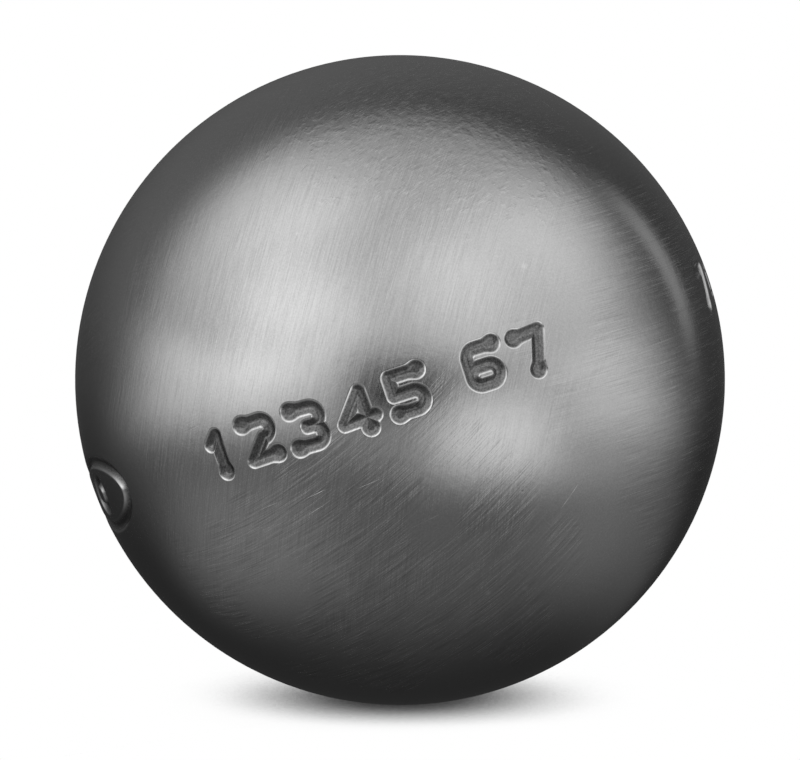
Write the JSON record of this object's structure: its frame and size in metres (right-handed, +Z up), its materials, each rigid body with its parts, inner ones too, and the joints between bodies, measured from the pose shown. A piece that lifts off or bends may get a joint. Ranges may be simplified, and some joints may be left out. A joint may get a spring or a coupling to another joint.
{
  "type": "petanque boule",
  "caption": "Hollow ground-steel petanque ball of half shells joined by a flush weld, with plain stamped figures and a plain oval with a ring.",
  "frame": {"origin": "middle of the ball", "axes": "+Z up as the ball lies in the picture, -Y towards the viewer and the stamped row of figures, +X to the viewer's right"},
  "size_m": [0.074, 0.074, 0.074],
  "materials": {
    "ground_steel": "satin, fine crossing grinding lines, light scratches",
    "weld_steel": "satin, ground flush with the shells"
  },
  "bodies": {
    "root": {"front_half_shell": "ground_steel", "rear_half_shell": "ground_steel", "weld_bead": "weld_steel"}
  },
  "joints": []
}
